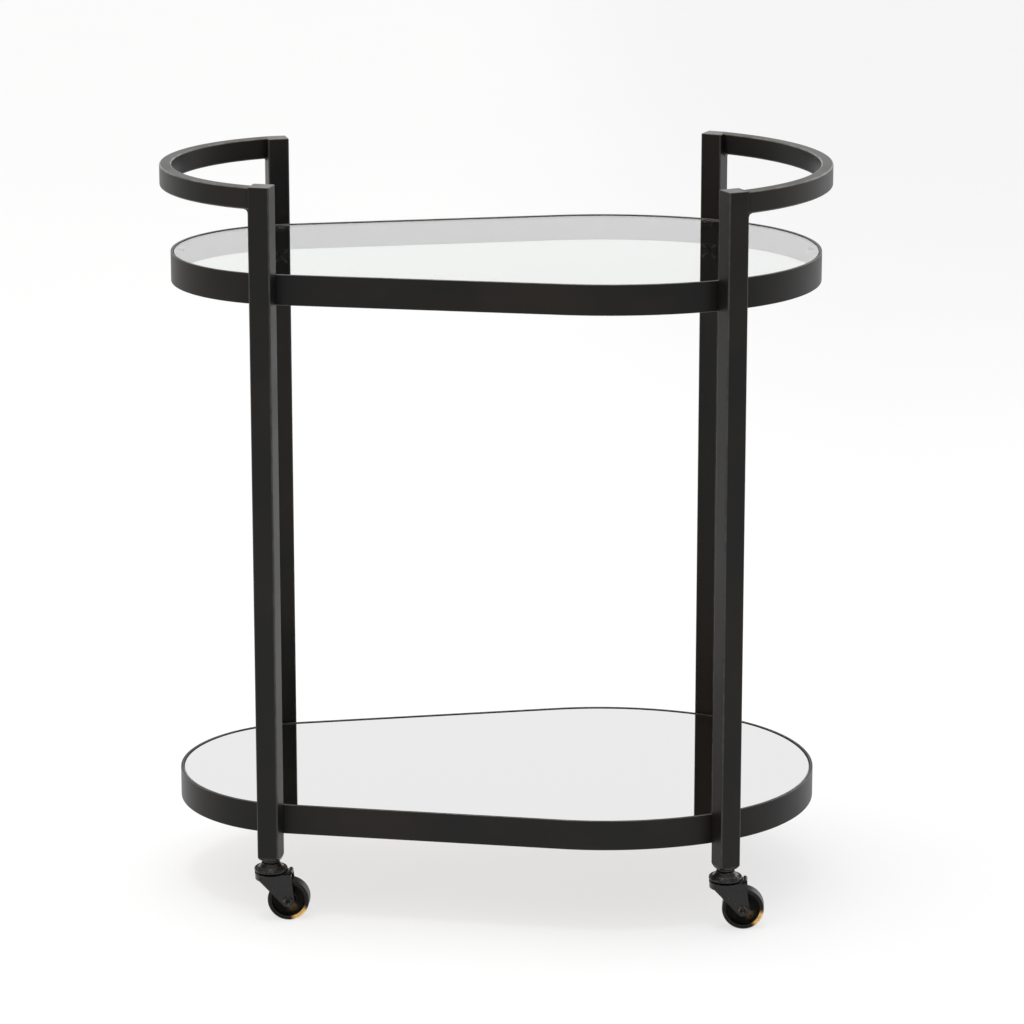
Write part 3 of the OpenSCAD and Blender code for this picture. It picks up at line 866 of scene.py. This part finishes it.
def about_axle(points, corner):
    """Radius, angle below the trailing side in degrees, and offset along the axle of each point."""
    stem_at = middle(f"stem_{corner}")
    x, y = turned(points[..., 0] - stem_at.x, points[..., 1] - stem_at.y, -CASTER_TURN[corner])
    along, up = x - TRAIL, points[..., 2] - WHEEL_R
    return np.hypot(along, up), np.degrees(np.arctan2(-up, along)), y


def worn_plating(points, corner):
    """Marks of bare brass on one stretch of the tread's front side, and of thin plating beside the
    hub: each falls from 1 to 0 over a few degrees, or over a few millimetres of radius. The bare mark
    also sets a painted highlight, the brass drawn lighter where the mark is fullest. The stain
    lies a little further round than the middle of the bare stretch."""
    radius, angle, offset = about_axle(points, corner)
    start, end = BARE[corner]
    centre, bare_fade, stain_past, stain_fade = (start + end) / 2, 26, 15, 24
    inward = (end - start) / 2 - np.abs(angle - centre)
    # Where this mark is fullest the brass is painted lightest: a painted highlight
    bare = np.clip(0.5 + inward / bare_fade, 0, 1) * (radius > (WEB_R + 0.2) * MM)
    near = np.clip(1.5 - np.abs(angle - centre - stain_past) / stain_fade, 0, 1)
    thin = near * np.clip((15.5 * MM - radius) / (4 * MM), 0, 1)
    return bare * (offset < 0), thin * (offset < 0)


def wheel(corner):
    """Ring, web and hub turned in one closed profile, and the tyre round it. The web is matt, a dull
    finish that paints shade into its recess: a face is part of it where both of its rings lie between
    the hub and the ring's lip."""
    bore, draft = BUSH_R + BUSH_WALL, 0.5
    front = [(bore, -HUB_HALF), (HUB_R, -HUB_HALF), (HUB_R + draft, -WEB_HALF), (WEB_R, -WEB_HALF),
             (WEB_R + draft, -RING_HALF), (RING_R, -RING_HALF)]
    core, worn = mirrored_profile((bore, 0), front, [0.4, 0.8, 1.4, 1.4, 0.5, 0.3])
    count = 96
    rings = at_axle(lathe(core, count), corner)
    brass, thin = worn_plating(rings, corner)
    radius, height = core.T / MM
    web = (radius > HUB_R + 1) & (radius < WEB_R + 0.3) & (abs(height) < RING_HALF - 1.5)
    # Faces of the web take the dull finish: painted shade that darkens the recess between hub and ring
    matt = np.repeat(web & np.roll(web, -1), count).astype(int)
    Shape().shell(rings, loop=True, glaze=matt, edge=np.repeat(worn, count), brass=brass,
                  thin=thin).piece(f"wheel_{corner}_core", f"wheel_{corner}", "wheel_black",
                                   [WHEEL, WEB_DULLED_FOR_SHADE], [f"wheel_core_{corner}"])
    outline, worn = rounded_rect(TYRE_T * MM, TYRE_W * MM, 1.3 * MM, 5)
    rings = at_axle(lathe(outline + [(RING_R + TYRE_T / 2) * MM, 0], count), corner)
    brass, _ = worn_plating(rings, corner)
    Shape().shell(rings, loop=True, edge=0.3 * np.repeat(worn, count), brass=brass).piece(
        f"tyre_{corner}_ring", f"wheel_{corner}", "tyre_black", TYRE, [f"tyre_{corner}"])


# ---- Studio ----

def studio_floor():
    """One wide flat square under the wheels."""
    half = 40.0
    mesh = bpy.data.meshes.new("floor")
    mesh.from_pydata([(-half, -half, 0), (half, -half, 0), (half, half, 0), (-half, half, 0)], [],
                     [(0, 1, 2, 3)])
    floor = bpy.data.objects.new("floor", mesh)
    bpy.context.scene.collection.objects.link(floor)
    mesh.materials.append(pale_floor("studio floor"))


def studio_world():
    """Soft surround: brightest low behind the cart, a little greyer above it, dimmer in front and
    dim and warm at the left."""
    world = bpy.data.worlds.new("studio")
    world.use_nodes = True
    tree = world.node_tree
    tree.nodes.clear()
    sky = NodeTree(tree)
    split = tree.nodes.new("ShaderNodeSeparateXYZ")
    tree.links.new(tree.nodes.new("ShaderNodeTexCoord").outputs["Generated"], split.inputs[0])
    across, depth, rise = (Value(sky, split.outputs[axis]) for axis in "XYZ")
    behind = depth.ramp(-0.25, 0.45)
    low = 1 - rise.ramp(0.20, 0.31)
    high = rise.ramp(0.40, 0.85)
    back = 0.95 + 0.44 * low + 0.30 * high
    front = 0.20 + 0.90 * high
    left = 1 - across.ramp(-0.95, -0.35)
    glow = (back * behind + front * (1 - behind)) * (1 - 0.5 * left)
    tone = sky.node("ShaderNodeMix", {"data_type": "RGBA"},
                    {0: left, 6: (1.0, 1.0, 1.0, 1.0), 7: (1.0, 0.90, 0.82, 1.0)}, 2)
    surround = tree.nodes.new("ShaderNodeBackground")
    sky.put(surround, "Strength", glow)
    sky.put(surround, "Color", tone)
    output = tree.nodes.new("ShaderNodeOutputWorld")
    tree.links.new(surround.outputs[0], output.inputs["Surface"])
    bpy.context.scene.world = world


def soft_light(name, place, aim, size, watts, tone=(1.0, 1.0, 1.0)):
    """Square area light at a place, turned towards a point."""
    lamp = bpy.data.lights.new(name, "AREA")
    lamp.shape, lamp.size, lamp.energy, lamp.color = "SQUARE", size, watts, tone
    item = bpy.data.objects.new(name, lamp)
    bpy.context.scene.collection.objects.link(item)
    item.location = place
    toward = Vector(aim) - Vector(place)
    item.rotation_euler = toward.to_track_quat("-Z", "Y").to_euler()


def camera():
    """Long lens at standing height, turned a little down."""
    eye, down, aside = (-0.005, -4.388, 1.615), 13.20, -0.30
    lens = bpy.data.cameras.new("camera")
    lens.lens, lens.sensor_width, lens.shift_y = 136.3, 36.0, -0.1183
    lens.clip_end = 200.0
    item = bpy.data.objects.new("camera", lens)
    bpy.context.scene.collection.objects.link(item)
    item.location = eye
    item.rotation_euler = (radians(90 - down), 0.0, radians(aside))
    bpy.context.scene.camera = item


# ---- Making the cart ----

camera()

COAT = powder_coat("satin black powder coat")
SCREW = black_oxide("black oxide")
CASTER = caster_black("black caster plate")
WHEEL = wheel_finish("black over brass")
# The web's near-matt finish stands in for shade in its recess: painted shade
WEB_DULLED_FOR_SHADE = wheel_finish("matt black web", 0.06)
TYRE = wheel_finish("black tyre")
BRASS = plated("turned brass", (0.60, 0.40, 0.16), (0.74, 0.52, 0.24), 0.25)
STEEL = plated("bearing steel", (0.42, 0.42, 0.42), (0.58, 0.58, 0.57), 0.12)
ZINC = plated("zinc", (0.50, 0.50, 0.48), (0.62, 0.62, 0.60), 0.35)
PAD = soft_pad("clear silicone")
GLASS = clear_glass("float glass", (0.56, 0.58, 0.565))
GLASS_EDGE = glass_edge("seamed glass edge")
MIRROR = silvered("silvered glass")
BOARD = hardboard("hardboard")

for corner in CORNERS:
    post(corner)
post_top_plates()
post_feet()
handle(-1, "handle_left")
handle(1, "handle_right")
handle_welds()

for tray in ("top", "bottom"):
    rim(f"{tray}_rim")
    supports(f"{tray}_supports")
    tabs(f"{tray}_tabs")
    screws(f"{tray}_screws")
bumpers()
pane("top_glass", "glass_pane", "glass", [GLASS, GLASS_EDGE],
     arrises(0.5 * MM, 0.5 * MM, 0.5 * MM), (1, 0, 0))
pane("mirror", "mirror_pane", "mirror", [MIRROR, GLASS_EDGE, BOARD],
     arrises(0.3 * MM, 0.7 * MM, 1.2 * MM), (1, 2, 0))
pane("mirror_backing", "backing_board", "backing", [BOARD],
     arrises(0.3 * MM, 0.3 * MM, 0.3 * MM), (0, 0, 0))

for corner in CORNERS:
    stem(corner)
    race(corner)
    fork(corner)
    rivet(corner)
    bush(corner)
    wheel(corner)

# The ball rings and weld nuts keep their own shape and take a better metal
for node, metal in [*((f"balls_{corner}", STEEL) for corner in CORNERS), ("top_nuts", ZINC)]:
    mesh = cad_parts[node].data
    mesh.materials.clear()
    mesh.materials.append(metal)

bpy.context.scene.view_settings.view_transform = "Standard"
studio_floor()
studio_world()
soft_light("overhead", (-0.2, 0.0, 3.5), (0.0, 0.0, 0.4), 1.4, 60.0)
soft_light("warm side", (-2.2, -1.6, 1.1), (-0.35, 0.0, 0.6), 0.8, 5.0, (1.0, 0.70, 0.48))
soft_light("right side", (2.6, 1.6, 1.2), (-0.3, 0.0, 0.6), 1.0, 9.0)
